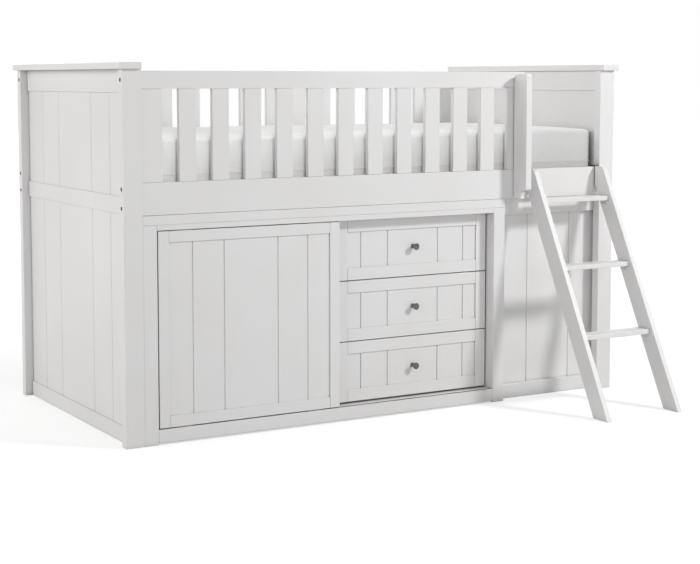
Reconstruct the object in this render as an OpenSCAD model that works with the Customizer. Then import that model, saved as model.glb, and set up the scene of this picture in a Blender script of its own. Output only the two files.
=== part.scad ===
// Cabin bed: a raised single bed with guard rails, a cupboard with one sliding door and three
// drawers under it, and a hook-on ladder. Millimetres, +Z up, +X to the right, front towards -Y.
// The origin is on the floor, under the middle of the whole object's outline.

/* [Overall size] */
// Length over the outer faces of the corner posts
bed_l = 2010; // [1600:10:2500]
// Width over the front and rear faces of the corner posts
bed_w = 1028; // [838:2:1300]
// Height of the corner posts, up to the underside of the caps
post_h = 1226; // [1010:2:1500]

/* [Posts and caps] */
// Width of a post, seen from the front
post_x = 66; // [50:1:90]
// Thickness of a post, seen from the end
post_y = 34; // [28:1:60]
// Thickness of the caps over the ends
cap_t = 22; // [12:1:40]
// Overhang of a cap past the outer face of the posts
cap_side = 13; // [0:1:40]
// Distance from a cap's inner edge to the posts' inner face
cap_inner = 3; // [0:1:10]
// Overhang of a cap past the front and rear faces of the posts
cap_front = 14; // [0:1:40]

/* [End frames] */
// Distance from the posts' outer face in to the end rails
end_rail_set = 26; // [10:1:30]
// Thickness of the end rails
end_rail_t = 22; // [18:1:28]
// Distance from the posts' outer face in to the end panels
end_panel_set = 31; // [20:1:38]
// Thickness of the grooved panels
panel_t = 10; // [8:1:14]
// Depth of the housings that hold panel edges
housing = 8; // [4:1:12]
// Height of the top end rail
end_top_h = 76; // [50:1:110]
// Height of the middle end rail
end_mid_h = 57; // [40:1:90]
// Height of the bottom end rail
end_low_h = 55; // [30:1:90]
// Distance from the middle of an end panel to its inner grooves
end_groove_a = 158; // [60:1:190]
// Distance from the middle of an end panel to its outer grooves
end_groove_b = 325; // [200:1:360]
// Half width and depth of a routed V groove
vee = 2.5; // [1:0.1:4]

/* [Side rails and guards] */
// Height of the side rails' lower edge above the floor
deck_z = 755; // [620:1:920]
// Height of a side rail
side_h = 106; // [80:1:140]
// Thickness of a side rail
side_t = 25; // [20:1:28]
// Distance from the posts' outer face in to the side rails and guards
side_set = 6; // [2:1:10]
// Height of the guards' top rail
guard_rail_h = 58; // [40:1:80]
// Thickness of the guards' top rail
guard_t = 22; // [18:1:28]
// Gap between the guards' top rail and the caps
guard_drop = 5; // [1:1:20]
// Width of the stiles at the ends of a guard
guard_stile_w = 75; // [50:1:100]
// Width of a guard slat
slat_w = 61; // [40:1:80]
// Thickness of a guard slat
slat_t = 18; // [12:1:20]
// Nominal distance from one guard slat to the next
slat_pitch = 119; // [90:1:140]
// Free gap in the front guard, where the ladder stands
entry_w = 356; // [300:1:500]

/* [Grab board] */
// Reach of the grab board in front of the guard
grab_reach = 83; // [60:1:120]
// Depth of the grip at the front of the grab board
grab_grip_d = 36; // [20:1:50]
// Thickness of the grip
grab_grip_t = 24; // [16:1:30]
// Thickness of the web behind the grip
grab_web_t = 18; // [10:1:22]
// Radius of the web's upper rear corner
grab_round = 36; // [10:1:40]

/* [Mattress and its slats] */
// Thickness of the mattress
mattress_t = 180; // [100:1:220]
// Air between the mattress and the side rails
mattress_side_gap = 33; // [2:1:60]
// Air between the mattress and the end rails
mattress_end_gap = 7; // [2:1:60]
// Rise of the mattress's crown from its edge to its middle
mattress_crown = 7; // [0:1:20]
// Width and height of the ledgers that carry the bed slats
ledger = 30; // [20:1:45]
// Height of the side rails' lower edge below the underside of the bed slats
ledger_up = 56; // [30:1:80]
// Width of a bed slat
bed_slat_w = 68; // [50:1:100]
// Thickness of a bed slat
bed_slat_t = 18; // [12:1:25]
// Number of bed slats
bed_slat_count = 14; // [8:1:20]

/* [Cupboard] */
// Free width behind the ladder, from the cupboard to the right-hand post
bay_w = 443; // [380:1:700]
// Width of the cupboard's stiles
stile_w = 49; // [30:1:80]
// Thickness of the face frame
face_t = 22; // [18:1:28]
// Height of the header under the side rail
header_h = 31; // [15:1:60]
// Gap between the header and the side rail
header_gap = 1; // [0:0.5:6]
// Thickness of the cupboard's boards
board_t = 18; // [15:1:22]
// Height of the plinth's upper edge
plinth_top = 50; // [40:1:90]
// Air between the plinth and the floor
plinth_lift = 5; // [0:1:15]
// Depth of the cupboard from its front to the back of its sides
cupboard_d = 480; // [400:5:640]
// Thickness of the cupboard's back
back_t = 4; // [3:1:8]

/* [Sliding door] */
// Distance from the cupboard's front to the door's face
door_set = 4; // [2:1:6]
// Thickness of the door's frame
door_t = 15; // [12:1:18]
// Width of the door's frame members
door_member = 38; // [30:1:70]
// Distance from the frame's face back to the panel's face, doors and drawers alike
panel_set = 5; // [3:1:7]
// Thickness of the panels in the door and the drawer fronts
infill_t = 6; // [4:1:8]
// Distance from the middle of the door to its inner grooves
door_groove_a = 101; // [40:1:120]
// Distance from the middle of the door to its outer grooves
door_groove_b = 216; // [130:1:240]
// Gap over and under the door
door_gap = 3; // [1:0.5:6]
// Gap beside the closed door
door_side_gap = 5; // [1:0.5:10]
// How far the closed door laps over the cupboard's divider
door_lap = 8; // [0:1:16]

/* [Drawers] */
// Width of a drawer front
drawer_w = 634; // [520:2:800]
// Number of drawers
drawer_count = 3; // [3:1:3]
// Distance from the cupboard's front to the drawer fronts' face
drawer_set = 47; // [46:1:60]
// Thickness of a drawer front's frame
drawer_front_t = 18; // [15:1:22]
// Width of a drawer front's frame members
drawer_member = 43; // [30:1:60]
// Distance from the middle of a drawer front to its inner grooves
drawer_groove_a = 107; // [50:1:130]
// Distance from the middle of a drawer front to its outer grooves
drawer_groove_b = 218; // [150:1:230]
// Gap at the sides of a drawer front
drawer_side_gap = 4; // [2:0.5:8]
// Gap between two drawer fronts
drawer_gap = 3; // [2:0.5:6]
// Air under the lowest drawer front
drawer_foot = 6; // [3:0.5:15]
// Length of a drawer box
drawer_box_d = 380; // [300:5:400]
// Height of a drawer box's sides
drawer_box_h = 150; // [90:1:170]
// Thickness of a drawer box's sides
drawer_wall = 12; // [9:1:16]
// Thickness of a drawer bottom
drawer_bottom_t = 4; // [3:1:6]
// Radius of a knob's head
knob_r = 12; // [9:0.5:17]
// Reach of a knob from the drawer front
knob_reach = 25; // [18:0.5:26]

/* [Ladder] */
// Width over the ladder's stringers
ladder_w = 345; // [260:1:355]
// Thickness of a stringer
stringer_t = 20; // [16:1:28]
// Width of a stringer, square to its length
stringer_w = 70; // [56:1:95]
// Lean of the ladder from upright, in degrees
ladder_lean = 27; // [15:0.5:32]
// Gap between the ladder and the right-hand post
ladder_gap = 1; // [0.5:0.5:6]
// Number of treads
tread_count = 3; // [2:1:4]
// Thickness of a tread
tread_t = 18; // [15:1:35]
// Depth of a tread, front to back
tread_d = 62; // [50:1:80]
// Distance from the stringers' front edge back to a tread's front
tread_set = 15; // [0:1:20]
// Height of the lowest tread's upper face
tread_first = 281; // [200:1:330]
// Distance from the stringers' top down to the highest tread
tread_top_drop = 107; // [70:1:130]
// Thickness of the ladder's hook straps
hook_t = 4; // [3:0.5:5]
// Width of a hook strap
hook_w = 16; // [10:1:16]

/* [Fasteners] */
// Radius of a frame bolt
bolt_r = 3; // [2:0.5:4]
// Radius of a frame bolt's head
bolt_head_r = 6.5; // [5:0.5:8]
// Distance from the end of a rail to its barrel nut
nut_in = 30; // [20:1:50]
// Radius of a barrel nut
nut_r = 5; // [4:0.5:6]

/* [Hidden] */
$fn = 48;

// Colours
paint = [0.93, 0.93, 0.93];
cloth = [0.96, 0.96, 0.96];
timber = [0.86, 0.80, 0.70];
steel = [0.62, 0.62, 0.64];
dark_metal = [0.12, 0.12, 0.13];
nylon = [0.75, 0.75, 0.75];

// Clearances
fit = 0.3;            // between pieces that are fitted but must not touch
glue_line = 0.2;      // joint line between two members of one frame or box
bolt_clear = 0.5;     // round a bolt's shank in a wooden part
eps = 1;              // overshoot of a cut past the face that it opens

// Levels
side_top = deck_z + side_h;
guard_top = post_h - guard_drop;
guard_low = guard_top - guard_rail_h;
slats_z = deck_z + ledger_up;
mattress_z = slats_z + bed_slat_t + fit;
ladder_h = side_top + 2;

// Lengths along X, measured from the outer face of the left-hand posts
rail_x0 = post_x;
rail_x1 = bed_l - post_x;
cupboard_x1 = rail_x1 - bay_w;
open_x0 = rail_x0 + stile_w;
open_x1 = cupboard_x1 - stile_w;
drawer_x1 = open_x1 - drawer_side_gap;
drawer_x0 = drawer_x1 - drawer_w;
drawer_mid_x = (drawer_x0 + drawer_x1) / 2;
divider_x1 = drawer_x0 - drawer_side_gap;
divider_x0 = divider_x1 - board_t;
door_x0 = open_x0 + door_side_gap;
door_x1 = divider_x0 + door_lap;
door_mid_x = (door_x0 + door_x1) / 2;

// Levels of the cupboard
header_top = deck_z - header_gap;
stile_top = header_top - header_h;
open_z0 = plinth_top;
open_z1 = stile_top - board_t;
door_z0 = open_z0 + door_gap;
door_z1 = open_z1 - door_gap;

// Depths along Y, measured from the posts' front face
side_y1 = side_set + side_t;
rear_side_y1 = bed_w - side_set;
rear_side_y0 = rear_side_y1 - side_t;
bolt_y = post_y / 2;
cupboard_y1 = cupboard_d;

// Drawers
drawer_h = (open_z1 - open_z0 - drawer_foot - drawer_gap * drawer_count) / drawer_count;
drawer_pitch = drawer_h + drawer_gap;
box_y0 = drawer_set + drawer_front_t;
box_y1 = box_y0 + drawer_box_d;
slide_t = 12;         // space beside a drawer box for its slides
box_x0 = divider_x1 + slide_t;
box_x1 = open_x1 - slide_t;
box_up = 30;          // from a drawer front's lower edge to its box
runner_h = 36;        // height of a cupboard runner
runner_wall = 1.5;    // thickness of a runner's sheet
runner_play = 0.6;    // air round the drawer slide in its runner
stud_r = 2;           // a knob's screw
stud_clear = 0.3;     // round a knob's screw

// Sliding door track
track_w = 11;         // width of the routed groove for the door's track
track_d = 9;          // depth of that groove
track_wall = 1.2;     // thickness of the track
track_y = door_set + door_t / 2;
glide_w = 6;          // thickness of a door glide
glide_l = 60;         // length of a door glide
glide_in = 90;        // from the door's edge to the middle of a glide

// Ladder
lean_run = tan(ladder_lean);
stringer_span = stringer_w / cos(ladder_lean);
hook_over = 0.5;      // air between a hook and the side rail
ladder_back = side_set - hook_t - hook_over;
ladder_top_d = 44;    // depth of a stringer's top, before its front corner is rounded
ladder_round = 20;    // radius of that corner
ladder_top_y = ladder_back - ladder_top_d;
ladder_foot_y = ladder_top_y - ladder_h * lean_run;
ladder_x1 = rail_x1 - ladder_gap;
ladder_x0 = ladder_x1 - ladder_w;
tread_pitch = (ladder_h - tread_top_drop - tread_first) / (tread_count - 1);
tread_house = 5;      // how deep a tread's ends sit in the stringers
hook_lip = 20;        // how far a hook reaches down behind the side rail
hook_leg = 60;        // length of a hook's leg on the stringer

// The whole object's outline, front to back
front_y = min(-cap_front, ladder_foot_y);
rear_y = bed_w + cap_front;

// Bolt heights, measured from the rails that they hold
bolt_edge_low = 25;   // from a side rail's lower edge up to its lower bolts
bolt_edge_high = 19;  // from a side rail's upper edge down to its upper bolts
bolt_z_side = [deck_z + bolt_edge_low, side_top - bolt_edge_high];
bolt_z_guard = guard_top - guard_rail_h / 2;
bolt_head_t = 6;
bolt_socket = 3;      // depth of the hexagon in a bolt's head
bolt_sunk = 3;        // from the post's face down to a bolt's head
bolt_tip = 12;        // how far a bolt runs past its barrel nut's middle
thread_play = 0.1;    // between a bolt and the hole through its barrel nut
nut_l = 18;           // length of a barrel nut
nut_y = side_set + 2; // from the posts' front face to the near end of a barrel nut

// Puts the outline's middle on the origin
module from_corner() {
    translate([-bed_l / 2, -(front_y + rear_y) / 2, 0]) children();
}

// A board between two opposite corners
module span(a, b) {
    translate(a) cube(b - a);
}

// A round rod along X, from x0 to x1
module rod_x(x0, x1, y, z, r) {
    translate([x0, y, z]) rotate([0, 90, 0]) cylinder(h = x1 - x0, r = r);
}

// A panel that faces -Y, with its lower left front corner at the origin and routed V grooves
// at the distances `at` on both sides of its middle
module grooved_panel(w, h, t, at) {
    difference() {
        cube([w, t, h]);
        for (side = [-1, 1], d = at)
            translate([w / 2 + side * d, 0, -eps])
                linear_extrude(h + 2 * eps)
                    polygon([[-vee - eps, -eps], [vee + eps, -eps], [0, vee]]);
    }
}

// ---- Posts and caps ----

// A post at x, y; `inner` is +1 when the end panel lies towards +Y, `bolts` its bolt heights,
// `outer` is -1 when the bolts go in from -X
module post(x, y, inner, outer, bolts) {
    panel_x = outer < 0 ? end_panel_set : post_x - end_panel_set - panel_t;
    face_y = inner > 0 ? post_y - housing : 0;
    difference() {
        translate([x, y, 0]) cube([post_x, post_y, post_h]);
        translate([x + panel_x, y + face_y - (inner > 0 ? 0 : eps), end_low_h - housing])
            cube([panel_t, housing + eps, post_h - end_top_h - end_low_h + 2 * housing]);
        for (z = bolts) {
            rod_x(x - eps, x + post_x + eps, y + bolt_y, z, bolt_r + bolt_clear);
            head_x = outer < 0 ? x - eps : x + post_x - bolt_sunk - bolt_head_t;
            rod_x(head_x, head_x + bolt_sunk + bolt_head_t + eps, y + bolt_y, z, bolt_head_r + bolt_clear);
        }
    }
}

all_bolts = concat(bolt_z_side, [bolt_z_guard]);

module post_front_left() {
    color(paint) from_corner() post(0, 0, 1, -1, all_bolts);
}
module post_front_right() {
    color(paint) from_corner() post(bed_l - post_x, 0, 1, 1, bolt_z_side);
}
module post_rear_left() {
    color(paint) from_corner() post(0, bed_w - post_y, -1, -1, all_bolts);
}
module post_rear_right() {
    color(paint) from_corner() post(bed_l - post_x, bed_w - post_y, -1, 1, all_bolts);
}

// A cap over one end, lying along Y
module cap(x) {
    w = post_x + cap_side - cap_inner;
    span([x, -cap_front, post_h], [x + w, bed_w + cap_front, post_h + cap_t]);
}
module cap_left() {
    color(paint) from_corner() cap(-cap_side);
}
module cap_right() {
    color(paint) from_corner() cap(bed_l - post_x + cap_inner);
}

// ---- End frames ----

end_mid_z = deck_z + 1;
end_top_z = post_h - end_top_h;
panel_bays = [[end_low_h, end_mid_z], [end_mid_z + end_mid_h, end_top_z]];

// The left end's panels: their edges sit in the posts and rails
module end_panels() {
    for (bay = panel_bays)
        translate([end_panel_set, bed_w - post_y + housing - fit, bay[0] - housing + fit])
            rotate([0, 0, -90])
                grooved_panel(
                    bed_w - 2 * post_y + 2 * (housing - fit),
                    bay[1] - bay[0] + 2 * (housing - fit),
                    panel_t,
                    [end_groove_a, end_groove_b]
                );
}

// The left end's three rails, housed for the panels
module end_rails() {
    difference() {
        for (z = [[0, end_low_h], [end_mid_z, end_mid_z + end_mid_h], [end_top_z, post_h]])
            span([end_rail_set, post_y, z[0]], [end_rail_set + end_rail_t, bed_w - post_y, z[1]]);
        for (bay = panel_bays)
            span(
                [end_panel_set, post_y - eps, bay[0] - housing],
                [end_panel_set + panel_t, bed_w - post_y + eps, bay[1] + housing]
            );
    }
}

// The same end, mirrored to the right
module right_end() {
    translate([bed_l, 0, 0]) mirror([1, 0, 0]) children();
}

module end_panels_left() {
    color(paint) from_corner() end_panels();
}
module end_panels_right() {
    color(paint) from_corner() right_end() end_panels();
}
module end_rails_left() {
    color(paint) from_corner() end_rails();
}
module end_rails_right() {
    color(paint) from_corner() right_end() end_rails();
}

// ---- Side rails ----

// Holes for a bolt and its barrel nut at both ends of a rail that is centred on y
module rail_end_holes(y, z, ends, nut_y0, nut_y1) {
    for (end = ends) {
        x_end = end < 0 ? rail_x0 : rail_x1;
        x_in = x_end - end * (nut_in + bolt_tip + eps);
        rod_x(min(x_end, x_in) - eps, max(x_end, x_in) + eps, y, z, bolt_r + bolt_clear);
        translate([x_end - end * nut_in, nut_y0, z])
            rotate([-90, 0, 0]) cylinder(h = nut_y1 - nut_y0, r = nut_r + fit);
    }
}

module side_rail_front() {
    color(paint) from_corner() difference() {
        span([rail_x0, side_set, deck_z], [rail_x1, side_y1, side_top]);
        for (z = bolt_z_side)
            rail_end_holes(bolt_y, z, [-1, 1], nut_y, side_y1 + eps);
    }
}
module side_rail_rear() {
    color(paint) from_corner() difference() {
        span([rail_x0, rear_side_y0, deck_z], [rail_x1, rear_side_y1, side_top]);
        for (z = bolt_z_side)
            rail_end_holes(bed_w - bolt_y, z, [-1, 1], rear_side_y0 - eps, bed_w - nut_y);
    }
}

// ---- Guards ----

guard_x1 = rail_x1 - entry_w;
slat_back = 1;        // the slats' faces lie this far behind the rails' faces
slat_y0 = side_set + slat_back;

module guard_top_rails() {
    color(paint) from_corner() {
        difference() {
            span([rail_x0, side_set, guard_low], [guard_x1, side_set + guard_t, guard_top]);
            rail_end_holes(bolt_y, bolt_z_guard, [-1], nut_y, side_set + guard_t + eps);
        }
        difference() {
            span(
                [rail_x0, rear_side_y1 - guard_t, guard_low],
                [rail_x1, rear_side_y1, guard_top]
            );
            rail_end_holes(
                bed_w - bolt_y, bolt_z_guard, [-1, 1],
                rear_side_y1 - guard_t - eps, bed_w - nut_y
            );
        }
    }
}

// Upright slats and end stiles between x0 and x1, standing on a side rail
module guard_uprights(x0, x1, y) {
    inner_x0 = x0 + guard_stile_w;
    inner_x1 = x1 - guard_stile_w;
    gaps = round((inner_x1 - inner_x0 + slat_w) / slat_pitch);
    pitch = (inner_x1 - inner_x0 + slat_w) / gaps;
    for (x = [x0, inner_x1])
        span([x, y, side_top], [x + guard_stile_w, y + slat_t, guard_low]);
    for (i = [1 : gaps - 1])
        span(
            [inner_x0 - slat_w + i * pitch, y, side_top],
            [inner_x0 + i * pitch, y + slat_t, guard_low]
        );
}
module guard_slats_front() {
    color(paint) from_corner() guard_uprights(rail_x0, guard_x1, slat_y0);
}
module guard_slats_rear() {
    color(paint) from_corner() guard_uprights(rail_x0, rail_x1, bed_w - slat_y0 - slat_t);
}

// ---- Grab board on the front guard's right-hand stile ----

grab_x = guard_x1 - guard_stile_w / 2;
grab_front = side_set - grab_reach;
grab_step = grab_front + grab_grip_d;
grab_top = guard_top - 8;
grip_low = deck_z + 32;
grip_round = 9;       // radius of the grip's ends

// Side view of the grab board's web: Y across, Z up
module web_outline() {
    difference() {
        translate([grab_step, deck_z])
            square([side_set - grab_step, grab_top - deck_z]);
        translate([side_set - grab_round, grab_top - grab_round])
            difference() {
                square(grab_round + eps);
                circle(grab_round);
            }
    }
}

// Side view of the grip: a bar with round corners
module grip_outline() {
    w = grab_grip_d;
    h = grab_top - grip_low;
    translate([grab_front, grip_low])
        difference() {
            square([w, h]);
            for (low = [false, true])
                translate([grip_round, low ? grip_round : h - grip_round])
                    mirror([1, 0])
                        mirror([0, low ? 1 : 0])
                            difference() {
                                square(grip_round + eps);
                                circle(grip_round);
                            }
        }
}

// Stands a Y-Z outline up, t thick and centred on x
module side_plate(x, t) {
    translate([x - t / 2, 0, 0])
        rotate([90, 0, 90])
            linear_extrude(t) children();
}

module grab_web() {
    color(paint) from_corner() side_plate(grab_x, grab_web_t) web_outline();
}
module grab_grip() {
    color(paint) from_corner() side_plate(grab_x, grab_grip_t) grip_outline();
}

// ---- Ledgers, bed slats and mattress ----

module slat_ledgers() {
    color(timber) from_corner() {
        span(
            [rail_x0 + nut_in * 2, side_y1, slats_z - ledger],
            [rail_x1 - nut_in * 2, side_y1 + ledger, slats_z]
        );
        span(
            [rail_x0 + nut_in * 2, rear_side_y0 - ledger, slats_z - ledger],
            [rail_x1 - nut_in * 2, rear_side_y0, slats_z]
        );
    }
}
module bed_slats() {
    first = rail_x0 + nut_in * 2;
    step = (rail_x1 - nut_in * 2 - first - bed_slat_w) / (bed_slat_count - 1);
    color(timber) from_corner()
        for (i = [0 : bed_slat_count - 1])
            span(
                [first + i * step, side_y1 + fit, slats_z],
                [first + i * step + bed_slat_w, rear_side_y0 - fit, slats_z + bed_slat_t]
            );
}

// Mattress: rings of a rounded rectangle, stacked from the middle of the underside, round the
// bound edges and the slightly drawn-in sides, to the middle of the crown
mattress_l = bed_l - 2 * (end_rail_set + end_rail_t + mattress_end_gap);
mattress_w = rear_side_y0 - side_y1 - 2 * mattress_side_gap;
mattress_round = 45;  // radius of the corners, seen from above
bound = 9;            // radius of the bound edges
waist = 4;            // how far the sides draw in between the bound edges
side_draw = 3;        // how far the long edges pull in between the corners
arc_steps = 5;
edge_steps = 7;

// One ring: `in` is its distance inside the full outline
function ring(in, z) =
    let (l = mattress_l / 2 - in, w = mattress_w / 2 - in, r = max(mattress_round - in, 4))
    [for (q = [0 : 3])
        let (sx = [1, -1, -1, 1][q], sy = [1, 1, -1, -1][q], cx = l - r, cy = w - r)
        each concat(
            [for (k = [0 : arc_steps])
                let (a = 90 * q + 90 * k / arc_steps)
                [sx * cx + r * cos(a), sy * cy + r * sin(a), z]],
            [for (k = [1 : edge_steps - 1])
                let (t = k / edge_steps, pull = side_draw * sin(180 * t))
                q % 2 == 0
                    ? [sx * cx * (1 - 2 * t), sy * (w - pull), z]
                    : [sx * (l - pull), sy * cy * (1 - 2 * t), z]]
        )
    ];

mattress_edge = mattress_t - mattress_crown;
mattress_rings = [
    ring(260, 0),
    ring(bound, 0),
    ring(bound * 0.3, bound * 0.3),
    ring(0, bound),
    ring(waist * 0.8, bound * 3),
    ring(waist, mattress_edge / 2),
    ring(waist * 0.8, mattress_edge - bound * 3),
    ring(0, mattress_edge - bound),
    ring(bound * 0.3, mattress_edge - bound * 0.3),
    ring(bound, mattress_edge),
    ring(60, mattress_edge + mattress_crown * 0.45),
    ring(150, mattress_edge + mattress_crown * 0.8),
    ring(300, mattress_t)
];

module mattress() {
    n = len(mattress_rings[0]);
    last = len(mattress_rings) - 1;
    points = [for (r = mattress_rings) each r];
    walls = [for (j = [0 : last - 1], i = [0 : n - 1])
        let (a = j * n + i, b = j * n + (i + 1) % n)
        each [[a, a + n, b], [b, a + n, b + n]]];
    ends = [
        [for (i = [0 : n - 1]) i],
        [for (i = [n - 1 : -1 : 0]) last * n + i]
    ];
    color(cloth) from_corner()
        translate([bed_l / 2, bed_w / 2, mattress_z])
            polyhedron(points = points, faces = concat(walls, ends), convexity = 4);
}

// ---- Cupboard ----

module stile(x) {
    span([x, 0, 0], [x + stile_w, face_t, stile_top]);
}
module cupboard_stile_left() {
    color(paint) from_corner() stile(rail_x0);
}
module cupboard_stile_right() {
    color(paint) from_corner() stile(cupboard_x1 - stile_w);
}
module cupboard_header() {
    color(paint) from_corner()
        span([rail_x0, 0, stile_top], [cupboard_x1, face_t, header_top]);
}

// The routed groove for the door's track, cut from level z, d deep
module track_groove(z0, z1) {
    span([open_x0 - eps, track_y - track_w / 2, z0], [open_x1 + eps, track_y + track_w / 2, z1]);
}
module cupboard_plinth() {
    color(paint) from_corner() difference() {
        span([open_x0, 0, plinth_lift], [open_x1, face_t, plinth_top]);
        track_groove(plinth_top - track_d, plinth_top + eps);
    }
}
module cupboard_top() {
    color(paint) from_corner() difference() {
        span([open_x0, 0, open_z1], [open_x1, cupboard_y1, stile_top]);
        track_groove(open_z1 - eps, open_z1 + track_d);
    }
}
module cupboard_base() {
    color(paint) from_corner()
        span([open_x0, face_t, plinth_top - board_t], [open_x1, cupboard_y1, plinth_top]);
}
module cupboard_uprights() {
    color(paint) from_corner() {
        for (x = [open_x0 - board_t, open_x1])
            span([x, face_t, 0], [x + board_t, cupboard_y1, stile_top]);
        span([divider_x0, drawer_set, plinth_top], [divider_x1, cupboard_y1, open_z1]);
    }
}
module cupboard_shelf() {
    shelf_z = (open_z0 + open_z1) / 2;
    color(paint) from_corner()
        span([open_x0, drawer_set, shelf_z], [divider_x0, cupboard_y1, shelf_z + board_t]);
}
module cupboard_back() {
    color(paint) from_corner()
        span(
            [open_x0 - board_t, cupboard_y1, plinth_top - board_t],
            [open_x1 + board_t, cupboard_y1 + back_t, stile_top]
        );
}

// ---- Bay behind the ladder: two rails with a grooved panel on their backs ----

bay_x0 = open_x1 + board_t;
bay_x1 = bed_l - end_rail_set - end_rail_t;
bay_low_h = 52;       // height of the bay's bottom rail
bay_top_h = 64;       // height of the bay's top rail
bay_seam = [145, 343];  // the grooves' distances from the cupboard's edge

module bay_rails() {
    color(paint) from_corner()
        for (z = [[0, bay_low_h], [deck_z - bay_top_h, deck_z]])
            span([bay_x0, post_y, z[0]], [bay_x1, post_y + end_rail_t, z[1]]);
}
module bay_panel() {
    y = post_y + end_rail_t;
    color(paint) from_corner() difference() {
        span([bay_x0, y, 0], [bay_x1, y + panel_t, deck_z]);
        for (d = bay_seam)
            translate([cupboard_x1 + d, y, -eps])
                linear_extrude(deck_z + 2 * eps)
                    polygon([[-vee - eps, -eps], [vee + eps, -eps], [0, vee]]);
    }
}

// ---- Sliding door ----

// A framed panel's four members, facing -Y from y, with the panel's housing cut out
module framed(x0, x1, y, t, z0, z1, member) {
    seat_y = y + panel_set;
    difference() {
        union() {
            for (x = [x0, x1 - member])
                span([x, y, z0], [x + member, y + t, z1]);
        }
        infill_seat(x0, x1, seat_y, z0, z1, member);
    }
    difference() {
        union() {
            for (z = [z0, z1 - member])
                span(
                    [x0 + member + glue_line, y, z],
                    [x1 - member - glue_line, y + t, z + member]
                );
        }
        infill_seat(x0, x1, seat_y, z0, z1, member);
    }
}

// Space for the infill panel in its frame
module infill_seat(x0, x1, y, z0, z1, member) {
    edge = member - housing;
    span([x0 + edge, y, z0 + edge], [x1 - edge, y + infill_t, z1 - edge]);
}

// The infill panel itself, with its V grooves
module infill(x0, x1, y, z0, z1, member, at) {
    edge = member - housing + fit;
    translate([x0 + edge, y + panel_set, z0 + edge])
        grooved_panel(x1 - x0 - 2 * edge, z1 - z0 - 2 * edge, infill_t, at);
}

module door_frame() {
    color(paint) from_corner()
        framed(door_x0, door_x1, door_set, door_t, door_z0, door_z1, door_member);
}
module door_panel() {
    color(paint) from_corner()
        infill(
            door_x0, door_x1, door_set, door_z0, door_z1, door_member,
            [door_groove_a, door_groove_b]
        );
}

glide_in_track = track_d - track_wall - fit;  // how far a glide reaches into its groove

// Four nylon glides, screwed to the door's edges and running in the tracks
module door_glides() {
    color(nylon) from_corner()
        for (x = [door_x0 + glide_in, door_x1 - glide_in]) {
            span(
                [x - glide_l / 2, track_y - glide_w / 2, plinth_top - glide_in_track],
                [x + glide_l / 2, track_y + glide_w / 2, door_z0]
            );
            span(
                [x - glide_l / 2, track_y - glide_w / 2, door_z1],
                [x + glide_l / 2, track_y + glide_w / 2, open_z1 + glide_in_track]
            );
        }
}

// One U-shaped track, open towards +Z, lying in a groove whose floor is at z
module track(z) {
    difference() {
        span([open_x0, track_y - track_w / 2, z], [open_x1, track_y + track_w / 2, z + track_d]);
        span(
            [open_x0 - eps, track_y - track_w / 2 + track_wall, z + track_wall],
            [open_x1 + eps, track_y + track_w / 2 - track_wall, z + track_d + eps]
        );
    }
}
module door_tracks() {
    color(dark_metal) from_corner() {
        track(plinth_top - track_d);
        translate([0, 0, open_z1 + track_d]) mirror([0, 0, 1]) track(0);
    }
}

// ---- Drawers ----

function drawer_z(i) = open_z0 + drawer_foot + i * drawer_pitch;
function runner_z(i) = drawer_z(i) + box_up + drawer_box_h / 2 - runner_h / 2;

// A cupboard runner: a C of sheet metal that opens towards `side`
module runner(x, side, z) {
    back = side > 0 ? x : x - runner_wall;
    depth = slide_t - runner_play;
    difference() {
        span(
            [min(x, x + side * depth), box_y0 + 5, z],
            [max(x, x + side * depth), cupboard_y1 - 5, z + runner_h]
        );
        span(
            [side > 0 ? back + runner_wall : x - depth - eps, box_y0, z + runner_wall],
            [side > 0 ? x + depth + eps : back, cupboard_y1, z + runner_h - runner_wall]
        );
    }
}
module drawer_runners() {
    color(steel) from_corner()
        for (i = [0 : drawer_count - 1]) {
            runner(divider_x1, 1, runner_z(i));
            runner(open_x1, -1, runner_z(i));
        }
}

// The pair of bars on a drawer box that run inside its runners
module drawer_slides(i) {
    z0 = runner_z(i) + runner_wall + runner_play;
    z1 = runner_z(i) + runner_h - runner_wall - runner_play;
    gap = runner_wall + runner_play;
    color(steel) from_corner() {
        span([divider_x1 + gap, box_y0 + 8, z0], [box_x0, box_y1 - 8, z1]);
        span([box_x1, box_y0 + 8, z0], [open_x1 - gap, box_y1 - 8, z1]);
    }
}

module drawer_front(i) {
    z = drawer_z(i);
    color(paint) from_corner()
        framed(
            drawer_x0, drawer_x1, drawer_set, drawer_front_t, z, z + drawer_h, drawer_member
        );
}
module drawer_panel(i) {
    z = drawer_z(i);
    color(paint) from_corner() difference() {
        infill(
            drawer_x0, drawer_x1, drawer_set, z, z + drawer_h, drawer_member,
            [drawer_groove_a, drawer_groove_b]
        );
        translate([drawer_mid_x, drawer_set, z + drawer_h / 2])
            rotate([-90, 0, 0]) cylinder(h = drawer_front_t, r = stud_r + stud_clear);
    }
}

// A drawer box: an inner front, two sides and a back, grooved for the bottom
module drawer_box(i) {
    z0 = drawer_z(i) + box_up;
    z1 = z0 + drawer_box_h;
    w = drawer_wall;
    color(timber) from_corner() difference() {
        union() {
            for (x = [box_x0, box_x1 - w])
                span([x, box_y0, z0], [x + w, box_y1, z1]);
            for (y = [box_y0, box_y1 - w])
                span(
                    [box_x0 + w + glue_line, y, z0],
                    [box_x1 - w - glue_line, y + w, z1]
                );
        }
        bottom_board(z0, 0);
        translate([drawer_mid_x, box_y0 - eps, drawer_z(i) + drawer_h / 2])
            rotate([-90, 0, 0]) cylinder(h = w + 2 * eps, r = stud_r + stud_clear);
    }
}

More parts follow.
